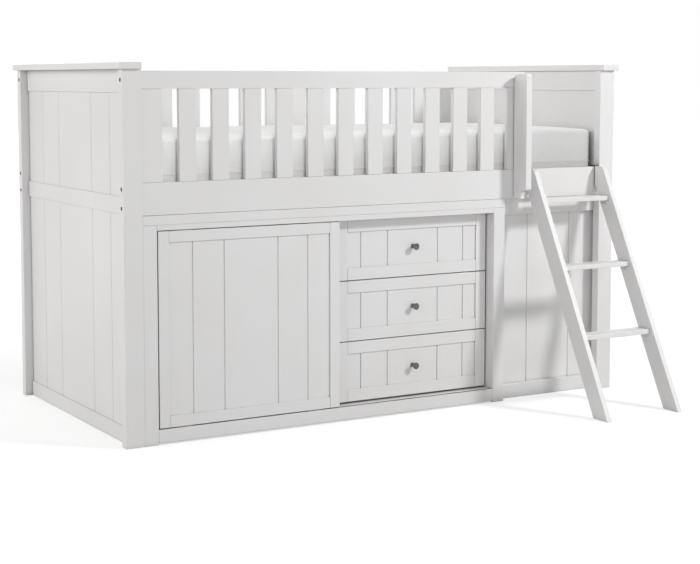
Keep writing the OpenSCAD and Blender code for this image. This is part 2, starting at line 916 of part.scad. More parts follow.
// The bottom board in its grooves, drawn in by `play` all round
module bottom_board(z0, play) {
    bite = drawer_wall / 2 - play;
    span(
        [box_x0 + drawer_wall - bite, box_y0 + drawer_wall - bite, z0 + 8],
        [box_x1 - drawer_wall + bite, box_y1 - drawer_wall + bite, z0 + 8 + drawer_bottom_t]
    );
}
module drawer_bottom(i) {
    color(timber) from_corner() bottom_board(drawer_z(i) + box_up, fit);
}

// A turned knob: foot, neck and domed head on the drawer's panel, with its screw behind it
module drawer_knob(i) {
    seat = drawer_set + panel_set;
    reach = knob_reach + panel_set;
    foot_r = knob_r * 0.68;
    neck_r = knob_r * 0.42;
    head_t = 11;
    color(steel) from_corner()
        translate([drawer_mid_x, seat, drawer_z(i) + drawer_h / 2])
            rotate([90, 0, 0]) {
                rotate_extrude()
                    polygon([
                        [0, 0], [foot_r, 0], [foot_r, 2], [foot_r * 0.75, 4],
                        [neck_r, 7], [neck_r, reach - head_t - 2],
                        [knob_r * 0.8, reach - head_t], [knob_r, reach - head_t + 4],
                        [knob_r, reach - 3], [knob_r * 0.8, reach - 0.8], [0, reach]
                    ]);
                translate([0, 0, -(drawer_front_t - panel_set + drawer_wall)])
                    cylinder(h = drawer_front_t - panel_set + drawer_wall + eps, r = stud_r);
                translate([0, 0, -(drawer_front_t - panel_set + drawer_wall + 2.5)])
                    cylinder(h = 2.5, r = stud_r * 2);
            }
}

module drawer_low_front() { drawer_front(0); }
module drawer_low_panel() { drawer_panel(0); }
module drawer_low_box() { drawer_box(0); }
module drawer_low_bottom() { drawer_bottom(0); }
module drawer_low_slides() { drawer_slides(0); }
module drawer_low_knob() { drawer_knob(0); }
module drawer_mid_front() { drawer_front(1); }
module drawer_mid_panel() { drawer_panel(1); }
module drawer_mid_box() { drawer_box(1); }
module drawer_mid_bottom() { drawer_bottom(1); }
module drawer_mid_slides() { drawer_slides(1); }
module drawer_mid_knob() { drawer_knob(1); }
module drawer_top_front() { drawer_front(2); }
module drawer_top_panel() { drawer_panel(2); }
module drawer_top_box() { drawer_box(2); }
module drawer_top_bottom() { drawer_bottom(2); }
module drawer_top_slides() { drawer_slides(2); }
module drawer_top_knob() { drawer_knob(2); }

// ---- Ladder ----

// Depth of the ladder's front edge at height z
function ladder_front(z) = ladder_foot_y + z * lean_run;

// Side view of a stringer: a leaning board, cut level at the floor and upright at the side rail,
// with its top front corner rounded
module stringer_outline() {
    round_y = ladder_top_y + ladder_round * (1 - sin(ladder_lean)) / cos(ladder_lean);
    polygon([
        [ladder_foot_y, 0],
        [ladder_foot_y + stringer_span, 0],
        [ladder_back, (ladder_back - ladder_foot_y - stringer_span) / lean_run],
        [ladder_back, ladder_h],
        for (i = [0 : 6])
            let (a = 90 + i * (90 - ladder_lean) / 6)
            [round_y + ladder_round * cos(a), ladder_h - ladder_round + ladder_round * sin(a)]
    ]);
}

// All treads, drawn in by `play` at their ends
module treads(play) {
    for (i = [0 : tread_count - 1]) {
        z = tread_first + i * tread_pitch;
        y = ladder_front(z) + tread_set;
        span(
            [ladder_x0 + stringer_t - tread_house + play, y, z - tread_t],
            [ladder_x1 - stringer_t + tread_house - play, y + tread_d, z]
        );
    }
}
module ladder_stringers() {
    color(paint) from_corner() difference() {
        for (x = [ladder_x0, ladder_x1 - stringer_t])
            side_plate(x + stringer_t / 2, stringer_t) stringer_outline();
        treads(0);
    }
}
module ladder_treads() {
    color(paint) from_corner() treads(0);
}

// A strap on a stringer's upright edge that hooks over the side rail
module ladder_hooks() {
    y0 = ladder_back;
    y1 = side_y1 + hook_over + hook_t;
    z1 = side_top + hook_over;
    color(dark_metal) from_corner()
        for (x = [ladder_x0 + stringer_t / 2, ladder_x1 - stringer_t / 2])
            side_plate(x, hook_w)
                polygon([
                    [y0, z1 - hook_leg], [y0 + hook_t, z1 - hook_leg],
                    [y0 + hook_t, z1], [y1 - hook_t, z1],
                    [y1 - hook_t, z1 - hook_lip], [y1, z1 - hook_lip],
                    [y1, z1 + hook_t], [y0, z1 + hook_t]
                ]);
}

// Steel angles under the ends of the treads
module ladder_brackets() {
    leg = 16;
    sheet = 2;
    deep = 30;
    color(steel) from_corner()
        for (i = [0 : tread_count - 1], side = [-1, 1]) {
            z = tread_first + i * tread_pitch - tread_t;
            y = ladder_front(z + tread_t) + tread_set + tread_d / 2 - deep / 2;
            x = side < 0 ? ladder_x0 + stringer_t : ladder_x1 - stringer_t;
            translate([x, y, z])
                mirror([side < 0 ? 0 : 1, 0, 0])
                    difference() {
                        translate([0, 0, -leg]) cube([leg, deep, leg]);
                        translate([sheet, -eps, -leg - eps]) cube([leg, deep + 2 * eps, leg - sheet + eps]);
                    }
        }
}

// ---- Fasteners ----

// Places children at every frame bolt's head, with +X and +Y pointing into the bed
module each_bolt() {
    for (end = [-1, 1], rear = [false, true], z = all_bolts)
        if (!(end > 0 && !rear && z == bolt_z_guard))
            translate([end < 0 ? 0 : bed_l, rear ? bed_w - bolt_y : bolt_y, z])
                mirror([end < 0 ? 0 : 1, 0, 0]) mirror([0, rear ? 1 : 0, 0]) children();
}
module frame_bolts() {
    length = post_x + nut_in + bolt_tip - bolt_sunk;
    color(steel) from_corner() each_bolt() difference() {
        union() {
            rod_x(bolt_sunk, bolt_sunk + bolt_head_t, 0, 0, bolt_head_r);
            rod_x(bolt_sunk, bolt_sunk + length, 0, 0, bolt_r);
        }
        translate([bolt_sunk - eps, 0, 0])
            rotate([0, 90, 0]) cylinder(h = bolt_socket + eps, r = bolt_r * 0.8, $fn = 6);
    }
}
module barrel_nuts() {
    color(steel) from_corner() each_bolt() difference() {
        translate([post_x + nut_in, nut_y - bolt_y, 0])
            rotate([-90, 0, 0]) cylinder(h = nut_l, r = nut_r);
        rod_x(post_x, post_x + 2 * nut_in, 0, 0, bolt_r + thread_play);
    }
}

post_front_left();
post_front_right();
post_rear_left();
post_rear_right();
cap_left();
cap_right();
end_rails_left();
end_rails_right();
end_panels_left();
end_panels_right();
side_rail_front();
side_rail_rear();
guard_top_rails();
guard_slats_front();
guard_slats_rear();
grab_web();
grab_grip();
slat_ledgers();
bed_slats();
mattress();
cupboard_stile_left();
cupboard_stile_right();
cupboard_header();
cupboard_plinth();
cupboard_top();
cupboard_base();
cupboard_uprights();
cupboard_shelf();
cupboard_back();
bay_rails();
bay_panel();
door_frame();
door_panel();
door_glides();
door_tracks();
drawer_runners();
drawer_low_front();
drawer_low_panel();
drawer_low_box();
drawer_low_bottom();
drawer_low_slides();
drawer_low_knob();
drawer_mid_front();
drawer_mid_panel();
drawer_mid_box();
drawer_mid_bottom();
drawer_mid_slides();
drawer_mid_knob();
drawer_top_front();
drawer_top_panel();
drawer_top_box();
drawer_top_bottom();
drawer_top_slides();
drawer_top_knob();
ladder_stringers();
ladder_treads();
ladder_hooks();
ladder_brackets();
frame_bolts();
barrel_nuts();
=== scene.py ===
"""The looks of a white cabin bed: a raised bed with a guard, a cupboard, drawers and a ladder."""

import math

import bpy
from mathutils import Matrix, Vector, noise


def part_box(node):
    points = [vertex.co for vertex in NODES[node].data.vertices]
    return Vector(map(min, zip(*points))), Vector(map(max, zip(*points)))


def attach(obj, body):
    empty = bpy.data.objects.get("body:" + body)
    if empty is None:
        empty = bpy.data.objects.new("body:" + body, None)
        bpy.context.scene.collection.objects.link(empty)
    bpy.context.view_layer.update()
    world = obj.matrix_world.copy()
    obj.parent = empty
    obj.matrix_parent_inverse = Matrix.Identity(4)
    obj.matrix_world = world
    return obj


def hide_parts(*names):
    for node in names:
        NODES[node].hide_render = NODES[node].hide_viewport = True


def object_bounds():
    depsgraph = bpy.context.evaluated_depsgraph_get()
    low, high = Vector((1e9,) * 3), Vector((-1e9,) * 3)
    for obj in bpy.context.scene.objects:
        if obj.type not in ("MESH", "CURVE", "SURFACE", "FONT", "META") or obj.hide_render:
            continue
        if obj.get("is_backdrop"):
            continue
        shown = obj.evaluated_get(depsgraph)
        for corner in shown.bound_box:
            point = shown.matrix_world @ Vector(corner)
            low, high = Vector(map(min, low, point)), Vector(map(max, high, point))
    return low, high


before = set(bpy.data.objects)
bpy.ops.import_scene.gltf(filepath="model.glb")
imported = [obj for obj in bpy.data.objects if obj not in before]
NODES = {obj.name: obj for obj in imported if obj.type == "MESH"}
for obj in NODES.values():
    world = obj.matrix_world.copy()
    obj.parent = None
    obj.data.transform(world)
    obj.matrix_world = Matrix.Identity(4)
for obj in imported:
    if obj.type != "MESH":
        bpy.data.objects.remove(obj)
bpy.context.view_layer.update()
scene = bpy.context.scene

# ---------------------------------------------------------------- materials


def linear(value):
    """An sRGB value from 0 to 1 as scene-linear."""
    return value / 12.92 if value <= 0.04045 else ((value + 0.055) / 1.055) ** 2.4


def colour(r, g, b):
    """An sRGB colour as the shader nodes take it."""
    return (linear(r), linear(g), linear(b), 1.0)


class Tree:
    """A material's node tree, with short calls to add and join nodes."""

    def __init__(self, name):
        self.material = bpy.data.materials.new(name)
        self.material.use_nodes = True
        self.nodes = self.material.node_tree.nodes
        self.links = self.material.node_tree.links
        self.shader = self.nodes["Principled BSDF"]

    def add(self, kind, **values):
        node = self.nodes.new(kind)
        for key, value in values.items():
            if key.startswith("in_"):
                node.inputs[key[3:].replace("_", " ")].default_value = value
            else:
                setattr(node, key, value)
        return node

    def link(self, source, target):
        self.links.new(source, target)

    def feed(self, value, socket):
        """Links an output to the socket, or sets the socket to a plain value."""
        if hasattr(value, "is_output"):
            self.link(value, socket)
        else:
            socket.default_value = value

    def coordinates(self, scale=(1, 1, 1), turn=(0, 0, 0)):
        place = self.add("ShaderNodeTexCoord")
        mapping = self.add("ShaderNodeMapping")
        mapping.inputs["Rotation"].default_value = turn
        mapping.inputs["Scale"].default_value = scale
        self.link(place.outputs["Object"], mapping.inputs["Vector"])
        return mapping.outputs["Vector"]

    def noise(self, vector, scale, detail=2.0, rough=0.5, warp=0.0):
        node = self.add("ShaderNodeTexNoise", in_Scale=scale, in_Detail=detail)
        node.inputs["Roughness"].default_value = rough
        node.inputs["Distortion"].default_value = warp
        self.link(vector, node.inputs["Vector"])
        return node.outputs["Fac"]

    def ramp(self, source, stops):
        node = self.add("ShaderNodeValToRGB")
        while len(node.color_ramp.elements) < len(stops):
            node.color_ramp.elements.new(0.5)
        for element, (place, value) in zip(node.color_ramp.elements, stops):
            element.position = place
            element.color = value if isinstance(value, tuple) else (value, value, value, 1)
        self.link(source, node.inputs["Fac"])
        return node.outputs["Color"]

    def span(self, source, low, high, old_low, old_high):
        """Maps the values from old_low to old_high onto those from low to high."""
        node = self.add("ShaderNodeMapRange")
        node.inputs["From Min"].default_value = old_low
        node.inputs["From Max"].default_value = old_high
        node.inputs["To Min"].default_value = low
        node.inputs["To Max"].default_value = high
        self.link(source, node.inputs["Value"])
        return node.outputs["Result"]

    def mix(self, amount, first, second, blend="MIX"):
        node = self.add("ShaderNodeMix", data_type="RGBA", blend_type=blend)
        # A mix of colours uses these of the node's sockets
        for index, value in ((0, amount), (6, first), (7, second)):
            self.feed(value, node.inputs[index])
        return node.outputs[2]

    def math(self, operation, first, second=0.0):
        node = self.add("ShaderNodeMath", operation=operation)
        for index, value in enumerate((first, second)):
            self.feed(value, node.inputs[index])
        return node.outputs[0]

    def bump(self, height, strength, distance, under=None):
        node = self.add("ShaderNodeBump", in_Strength=strength, in_Distance=distance)
        self.link(height, node.inputs["Height"])
        if under is not None:
            self.link(under, node.inputs["Normal"])
        return node.outputs["Normal"]

    def put(self, value, socket):
        """Feeds a socket of the material's shader."""
        self.feed(value, self.shader.inputs[socket])


# Most values of a noise texture lie between these
MIDDLE, WIDE = (0.35, 0.65), (0.3, 0.7)
# The axis that the grain runs along. "lean" is Z leaned back like the ladder
ALONG = {"x": (1, 0, 0), "y": (0, 1, 0), "z": (0, 0, 1), "lean": (0, 0, 1)}
LEAN = math.radians(27)


def stretched(tree, axis, across, along):
    """Coordinates whose pattern is drawn out along a board's length."""
    scale = [along if on else across for on in ALONG[axis]]
    turn = (-LEAN, 0, 0) if axis == "lean" else (0, 0, 0)
    return tree.coordinates(tuple(scale), turn)


PAINT = colour(0.932, 0.928, 0.9275)
PAINT_SHADE = colour(0.917, 0.913, 0.909)
# Painted shade in grooves: how near another face of the same piece darkens the paint's colour, in
# metres, and the darkest tone
GROOVE_SHADE_REACH, GROOVE_SHADE_TONE = 0.007, 0.16
# Painted shade in corners: the same for a face of any piece
CORNER_SHADE_REACH, CORNER_SHADE_TONE = 0.022, 0.55
# Rays that look for such faces
NEAR_RAYS = 6


def painted(axis):
    """Sprayed satin paint on timber: fine orange peel, the grain just showing through, and painted shade
    in grooves and corners.
    """
    tree = Tree("painted_wood_" + axis)
    cloud = tree.noise(tree.coordinates(), 2.3, 3.0)
    grain = tree.noise(stretched(tree, axis, 260, 7), 1.0, 3.0, 0.6)
    peel = tree.noise(tree.coordinates(), 700, 2.0)
    tone = tree.mix(tree.span(cloud, 0, 1, *MIDDLE), PAINT, PAINT_SHADE)
    streak = tree.ramp(grain, [(0.35, 0.992), (0.6, 1.0)])
    body = tree.mix(1.0, tone, streak, "MULTIPLY")
    # Painted shade: the colour is darkened in grooves and at a piece's own joints, beyond what the
    # renderer's shading gives them
    groove_shade_ao = tree.add("ShaderNodeAmbientOcclusion", samples=NEAR_RAYS, in_Distance=GROOVE_SHADE_REACH)
    groove_shade_ao.only_local = True
    painted_groove_shade = tree.ramp(groove_shade_ao.outputs["AO"], [(0.32, GROOVE_SHADE_TONE), (0.9, 1.0)])
    body = tree.mix(1.0, body, painted_groove_shade, "MULTIPLY")
    # Painted shade too in the corners where two pieces meet
    corner_shade_ao = tree.add("ShaderNodeAmbientOcclusion", samples=NEAR_RAYS, in_Distance=CORNER_SHADE_REACH)
    # corners is painted shade: it darkens the colour near any other piece
    corners = tree.ramp(corner_shade_ao.outputs["AO"], [(0.15, CORNER_SHADE_TONE), (0.7, 1.0)])
    tree.put(tree.mix(1.0, body, corners, "MULTIPLY"), "Base Color")
    tree.put(tree.span(grain, 0.36, 0.46, *WIDE), "Roughness")
    soft = tree.bump(grain, 0.05, 0.0003)
    tree.put(tree.bump(peel, 0.10, 0.0001, soft), "Normal")
    tree.put(0.12, "Coat Weight")
    tree.put(0.3, "Coat Roughness")
    return tree.material


PINE_LIGHT, PINE_DARK = colour(0.86, 0.76, 0.60), colour(0.72, 0.58, 0.41)
RINGS = 9.0
# How a growth ring darkens across its width
RING_TONES = [(0.0, 0.0), (0.72, 0.35), (0.93, 1.0), (1.0, 0.1)]


def bare(axis):
    """Planed softwood with growth rings, fibres and a few darker streaks."""
    tree = Tree("bare_wood_" + axis)
    bands = tree.noise(stretched(tree, axis, 38, 1.6), 1.0, 2.0, 0.45, 0.6)
    rings = tree.math("FRACT", tree.math("MULTIPLY", bands, RINGS))
    fibre = tree.noise(stretched(tree, axis, 900, 16), 1.0, 2.0, 0.6)
    cast = tree.noise(stretched(tree, axis, 9, 0.7), 1.0, 1.0)
    body = tree.mix(tree.ramp(rings, RING_TONES), PINE_LIGHT, PINE_DARK)
    body = tree.mix(tree.span(cast, 0.0, 0.35, *WIDE), body, PINE_DARK)
    body = tree.mix(1.0, body, tree.ramp(fibre, [(0.3, 0.9), (0.6, 1.0)]), "MULTIPLY")
    tree.put(body, "Base Color")
    tree.put(tree.span(fibre, 0.5, 0.66, *WIDE), "Roughness")
    tree.put(tree.bump(fibre, 0.25, 0.0003), "Normal")
    return tree.material


def metal(name, base, rough_low, rough_high, scratch, along=(1, 1, 1), coat=0.0):
    """Metal with faint scratches and duller patches, under a clear coat where it is polished."""
    tree = Tree(name)
    worn = tree.noise(tree.coordinates(along), scratch, 3.0, 0.6)
    cloud = tree.noise(tree.coordinates(), 60, 2.0)
    dull = tuple(c * 0.8 for c in base[:3]) + (1,)
    tree.put(tree.mix(tree.span(cloud, 0.0, 0.5, *MIDDLE), base, dull), "Base Color")
    tree.put(tree.span(worn, rough_low, rough_high, *WIDE), "Roughness")
    tree.put(tree.bump(worn, 0.15, 0.0001), "Normal")
    tree.put(1.0, "Metallic")
    tree.put(coat, "Coat Weight")
    tree.put(0.08, "Coat Roughness")
    return tree.material


def lacquered_metal():
    """Dark lacquer with a fine orange peel."""
    tree = Tree("dark_metal")
    peel = tree.noise(tree.coordinates(), 1400, 2.0)
    cloud = tree.noise(tree.coordinates(), 40, 2.0)
    patches = tree.span(cloud, 0.0, 1.0, *MIDDLE)
    tree.put(tree.mix(patches, colour(0.13, 0.13, 0.14), colour(0.17, 0.17, 0.18)), "Base Color")
    tree.put(tree.span(peel, 0.36, 0.5, *WIDE), "Roughness")
    tree.put(tree.bump(peel, 0.25, 0.0001), "Normal")
    return tree.material


def plastic():
    """Pale nylon with a fine grain."""
    tree = Tree("glide_plastic")
    grain = tree.noise(tree.coordinates(), 900, 2.0)
    shades = [(0.3, colour(0.73, 0.73, 0.72)), (0.7, colour(0.77, 0.77, 0.76))]
    tree.put(tree.ramp(grain, shades), "Base Color")
    tree.put(tree.span(grain, 0.45, 0.6, *WIDE), "Roughness")
    tree.put(tree.bump(grain, 0.2, 0.0001), "Normal")
    return tree.material


def knit(name, base, shade):
    """A fine knitted cover: small loops, a soft sheen and a little unevenness."""
    tree = Tree(name)
    loops = tree.add("ShaderNodeTexVoronoi", in_Scale=1.0, in_Randomness=1.0)
    tree.link(tree.coordinates((720, 720, 520)), loops.inputs["Vector"])
    uneven = tree.noise(tree.coordinates(), 14, 3.0)
    fuzz = tree.noise(tree.coordinates(), 2600, 2.0)
    tone = tree.mix(tree.span(uneven, 0.0, 1.0, *MIDDLE), base, shade)
    pit = tree.ramp(loops.outputs["Distance"], [(0.2, 1.0), (0.75, 0.93)])
    tree.put(tree.mix(1.0, tone, pit, "MULTIPLY"), "Base Color")
    tree.put(tree.span(fuzz, 0.85, 0.97, *WIDE), "Roughness")
    low = tree.bump(loops.outputs["Distance"], 0.35, 0.0004)
    low.node.invert = True
    tree.put(tree.bump(fuzz, 0.2, 0.0002, low), "Normal")
    tree.put(0.25, "Sheen Weight")
    tree.put(0.5, "Sheen Roughness")
    return tree.material


PAINTS = {axis: painted(axis) for axis in ALONG}
PINES = {axis: bare(axis) for axis in "xyz"}
STEEL = metal("steel", colour(0.66, 0.66, 0.67), 0.28, 0.42, 240, (1, 0.05, 1))
ZINC = metal("zinc_plate", colour(0.86, 0.86, 0.87), 0.45, 0.6, 300)
PEWTER = metal("knob_metal", colour(0.33, 0.33, 0.34), 0.12, 0.24, 300, coat=1.0)
DARK = lacquered_metal()
NYLON = plastic()
COVER = knit("mattress_cover", colour(0.89, 0.89, 0.888), colour(0.875, 0.875, 0.873))
COVER_LOW = knit("mattress_border", colour(0.875, 0.875, 0.873), colour(0.86, 0.86, 0.858))

# ---------------------------------------------------------------- the CAD nodes' finish


def solids_of(mesh):
    """Which polygons belong together as one board, by where their corners meet."""
    parent = {}

    def find(key):
        while parent[key] != key:
            parent[key] = parent[parent[key]]
            key = parent[key]
        return key

    # Corners that agree to 0.01 mm are one corner
    keys = [tuple(round(c * 1e5) for c in v.co) for v in mesh.vertices]
    for key in keys:
        parent.setdefault(key, key)
    for polygon in mesh.polygons:
        first = find(keys[polygon.vertices[0]])
        for index in polygon.vertices[1:]:
            other = find(keys[index])
            if other != first:
                parent[other] = first
    groups = {}
    for polygon in mesh.polygons:
        groups.setdefault(find(keys[polygon.vertices[0]]), []).append(polygon.index)
    return list(groups.values())


def grain_of(mesh, polygons):
    """The axis that a board is longest along."""
    corners = [mesh.vertices[i].co for p in polygons for i in mesh.polygons[p].vertices]
    sizes = [max(c[a] for c in corners) - min(c[a] for c in corners) for a in range(3)]
    return "xyz"[sizes.index(max(sizes))]


def finish_boards(node, kinds, only=None):
    """Gives each board of a CAD node the material whose grain runs along it."""
    mesh = NODES[node].data
    mesh.materials.clear()
    order = list(kinds)
    for key in order:
        mesh.materials.append(kinds[key])
    for group in solids_of(mesh):
        index = order.index(only or grain_of(mesh, group))
        for polygon in group:
            mesh.polygons[polygon].material_index = index


def finish_plain(node, material):
    """Gives a CAD node one material all over."""
    mesh = NODES[node].data
    mesh.materials.clear()
    mesh.materials.append(material)
    for polygon in mesh.polygons:
        polygon.material_index = 0


def soften(node, width, segments=2, angle=40):
    """Rounds a CAD node's sharp edges a little, as sanding before paint does."""
    obj = NODES[node]
    weld = obj.modifiers.new("Weld", "WELD")
    weld.merge_threshold = 0.00001
    flat = obj.modifiers.new("Flatten", "DECIMATE")
    flat.decimate_type = "DISSOLVE"
    flat.angle_limit = math.radians(0.5)
    bevel = obj.modifiers.new("Arris", "BEVEL")
    bevel.width = width
    bevel.segments = segments
    bevel.limit_method = "ANGLE"
    bevel.angle_limit = math.radians(angle)
    bevel.use_clamp_overlap = True
    normals = obj.modifiers.new("Normals", "WEIGHTED_NORMAL")
    normals.keep_sharp = False
    normals.weight = 100
    for polygon in obj.data.polygons:
        polygon.use_smooth = True


# The painted nodes, and how far their edges are rounded, in metres. 0 leaves them sharp
PAINTED = {
    "post_front_left": 0.0022, "post_front_right": 0.0022,
    "post_rear_left": 0.0022, "post_rear_right": 0.0022,
    "cap_left": 0.0025, "cap_right": 0.0025, "end_rails_left": 0.0016, "end_rails_right": 0.0016,
    "side_rail_front": 0.002, "side_rail_rear": 0.002, "guard_top_rails": 0.002,
    "guard_slats_front": 0.0016, "guard_slats_rear": 0.0016, "grab_web": 0.002, "grab_grip": 0.0,
    "cupboard_stile_left": 0.0016, "cupboard_stile_right": 0.0016, "cupboard_header": 0.0016,
    "cupboard_plinth": 0.0016, "cupboard_top": 0.001, "cupboard_base": 0.001, "cupboard_uprights": 0.001,
    "cupboard_shelf": 0.001, "cupboard_back": 0.0, "bay_rails": 0.0016, "door_frame": 0.0012,
    "drawer_low_front": 0.0012, "drawer_mid_front": 0.0012, "drawer_top_front": 0.0012,
    "ladder_treads": 0.0025,
}
for node, width in PAINTED.items():
    finish_boards(node, {axis: PAINTS[axis] for axis in "xyz"})
    if width:
        soften(node, width)
GROOVED = (
    "end_panels_left", "end_panels_right", "bay_panel", "door_panel",
    "drawer_low_panel", "drawer_mid_panel", "drawer_top_panel",
)
for node in GROOVED:
    finish_boards(node, {"z": PAINTS["z"]}, "z")
    soften(node, 0.0004, segments=1, angle=30)
finish_boards("ladder_stringers", {"lean": PAINTS["lean"]}, "lean")
soften("ladder_stringers", 0.0022)

# The same for the unpainted nodes
UNPAINTED = {
    "slat_ledgers": 0.0015, "bed_slats": 0.003,
    "drawer_low_box": 0.0008, "drawer_mid_box": 0.0008, "drawer_top_box": 0.0008,
}
for node, width in UNPAINTED.items():
    finish_boards(node, PINES)
    soften(node, width)
for node in ("drawer_low_bottom", "drawer_mid_bottom", "drawer_top_bottom"):
    finish_boards(node, {"x": PINES["x"]}, "x")
OF_STEEL = (
    "door_tracks", "drawer_runners", "barrel_nuts",
    "drawer_low_slides", "drawer_mid_slides", "drawer_top_slides",
)
for node in OF_STEEL:
    finish_plain(node, STEEL)
finish_plain("frame_bolts", DARK)
finish_plain("ladder_hooks", DARK)
finish_plain("ladder_brackets", ZINC)
finish_plain("door_glides", NYLON)
for node in ("drawer_low_knob", "drawer_mid_knob", "drawer_top_knob"):
    finish_plain(node, PEWTER)

# ---------------------------------------------------------------- the mattress


def object_of(name, points, faces, materials, indices=None):
    """A new smooth object from points and faces."""
    mesh = bpy.data.meshes.new(name)
    mesh.from_pydata(points, [], faces)
    for material in materials:
        mesh.materials.append(material)
    if indices is not None:
        mesh.polygons.foreach_set("material_index", indices)
    mesh.polygons.foreach_set("use_smooth", [True] * len(mesh.polygons))
    mesh.update()
    obj = bpy.data.objects.new(name, mesh)
    scene.collection.objects.link(obj)
    return obj


def tube(name, path, radius, material):
    """A closed tube along a loop of points."""
    points, faces = [], []
    count, sides = len(path), 10
    for i, place in enumerate(path):
        ahead = (path[(i + 1) % count] - path[i - 1]).normalized()
        out = ahead.cross(Vector((0, 0, 1))).normalized()
        up = out.cross(ahead)
        for j in range(sides):
            turn = 2 * math.pi * j / sides
            points.append(place + radius * (out * math.cos(turn) + up * math.sin(turn)))
    for i in range(count):
        for j in range(sides):
            a, b = i * sides + j, i * sides + (j + 1) % sides
            c, d = ((i + 1) % count) * sides + (j + 1) % sides, ((i + 1) % count) * sides + j
            faces.append((a, b, c, d))
    return object_of(name, points, faces, [material])


def rounded(x, y, half_x, half_y, corner):
    """Moves a point of a rectangle so that the rectangle's corners become round."""
    deep_x, deep_y = abs(x) - (half_x - corner), abs(y) - (half_y - corner)
    if deep_x <= 0 or deep_y <= 0:
        return x, y
    a, b = deep_x / corner, deep_y / corner
    x = math.copysign(half_x - corner + corner * a * math.sqrt(1 - b * b / 2), x)
    y = math.copysign(half_y - corner + corner * b * math.sqrt(1 - a * a / 2), y)
    return x, y


# How far inside the CAD mattress's ends, sides and crown the form starts, before it swells
SHRINK_X, SHRINK_Y, SHRINK_TOP = 0.001, 0.004, 0.007
# The radii of its upright corners and of its upper and lower edges
MATTRESS_CORNER, MATTRESS_EDGE = 0.014, 0.016
SEAM_Z = 0.881
# The side of a mesh square, and the rows round an edge, below the seam and above it
STEP = 0.0125
EDGE_ROWS, LOWER_ROWS, UPPER_ROWS = 5, 3, 9
# The mattress's material slots
ABOVE_SEAM, BELOW_SEAM = 0, 1
# What lies this near the underside stays flat when the form swells
FLAT = 0.001


def mattress_form():
    """A closed quad mesh a little smaller than the CAD mattress, with a row along the seam."""
    low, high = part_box("mattress")
    middle = (low + high) / 2
    half_x = (high.x - low.x) / 2 - SHRINK_X
    half_y = (high.y - low.y) / 2 - SHRINK_Y
    floor_z, roof_z = low.z, high.z - SHRINK_TOP
    nx, ny = round(2 * half_x / STEP), round(2 * half_y / STEP)
    # Each row's inset, as a share of the edge's radius, and its height
    rows = []
    for i in range(EDGE_ROWS):
        turn = math.pi / 2 * i / EDGE_ROWS
        rows.append((1 - math.sin(turn), floor_z + MATTRESS_EDGE * (1 - math.cos(turn))))
    for i in range(LOWER_ROWS):
        rise = (SEAM_Z - floor_z - MATTRESS_EDGE) * i / LOWER_ROWS
        rows.append((0, floor_z + MATTRESS_EDGE + rise))
    for i in range(UPPER_ROWS + 1):
        rows.append((0, SEAM_Z + (roof_z - MATTRESS_EDGE - SEAM_Z) * i / UPPER_ROWS))
    for i in range(1, EDGE_ROWS + 1):
        turn = math.pi / 2 * i / EDGE_ROWS
        rows.append((1 - math.cos(turn), roof_z - MATTRESS_EDGE * (1 - math.sin(turn))))
    ring = [(i, 0) for i in range(nx)] + [(nx, j) for j in range(ny)]
    ring += [(i, ny) for i in range(nx, 0, -1)] + [(0, j) for j in range(ny, 0, -1)]
    points, faces, indices = [], [], []

    def put(i, j, inset, z):
        wide, deep = half_x - inset * MATTRESS_EDGE, half_y - inset * MATTRESS_EDGE
        x, y = rounded((2 * i / nx - 1) * wide, (2 * j / ny - 1) * deep, wide, deep, MATTRESS_CORNER)
        points.append(Vector((middle.x + x, middle.y + y, z)))
        return len(points) - 1

    loops = [[put(i, j, inset, z) for i, j in ring] for inset, z in rows]
    seam_row = EDGE_ROWS + LOWER_ROWS
    for r in range(len(rows) - 1):
        for k in range(len(ring)):
            n = (k + 1) % len(ring)
            faces.append((loops[r][k], loops[r][n], loops[r + 1][n], loops[r + 1][k]))
            indices.append(BELOW_SEAM if r < seam_row else ABOVE_SEAM)
    where = {place: k for k, place in enumerate(ring)}
    ends = ((loops[0], rows[0], False), (loops[-1], rows[-1], True))
    for loop, (inset, z), upwards in ends:
        grid = {}
        for i in range(nx + 1):
            for j in range(ny + 1):
                grid[i, j] = loop[where[i, j]] if (i, j) in where else put(i, j, inset, z)
        for i in range(nx):
            for j in range(ny):
                face = (grid[i, j], grid[i + 1, j], grid[i + 1, j + 1], grid[i, j + 1])
                faces.append(face if upwards else face[::-1])
                indices.append(ABOVE_SEAM if upwards else BELOW_SEAM)
    # The seam and the underside keep their place
    pinned = set(loops[seam_row])
    pinned.update(k for k, p in enumerate(points) if p.z < floor_z + FLAT)
    return points, faces, indices, pinned, loops[seam_row]


PUFF_FRAMES = 20


def puff(obj, pinned, cap, pressure):
    """Swells a closed form by Cloth, moves no point further than cap and leaves a plain mesh."""
    group = obj.vertex_groups.new(name="pinned")
    group.add(sorted(pinned), 1.0, "REPLACE")
    cloth = obj.modifiers.new("Cloth", "CLOTH")
    cloth.settings.quality = 5
    cloth.settings.mass = 0.3
    cloth.settings.tension_stiffness = 15
    cloth.settings.compression_stiffness = 15
    cloth.settings.shear_stiffness = 5
    cloth.settings.bending_stiffness = 2
    cloth.settings.use_pressure = True
    cloth.settings.uniform_pressure_force = pressure
    cloth.settings.vertex_group_mass = "pinned"
    cloth.settings.effector_weights.gravity = 0
    cloth.collision_settings.use_collision = False
    cloth.point_cache.frame_end = PUFF_FRAMES
    start = [v.co.copy() for v in obj.data.vertices]
    for step in range(1, PUFF_FRAMES + 1):
        scene.frame_set(step)
    swollen = obj.evaluated_get(bpy.context.evaluated_depsgraph_get()).to_mesh()
    ends = [v.co.copy() for v in swollen.vertices]
    obj.modifiers.remove(cloth)
    obj.vertex_groups.clear()
    places = []
    for first, last in zip(start, ends):
        move = last - first
        if move.length > cap:
            move *= cap / move.length
        places.extend(first + move)
    obj.data.vertices.foreach_set("co", places)
    obj.data.update()
    scene.frame_set(1)


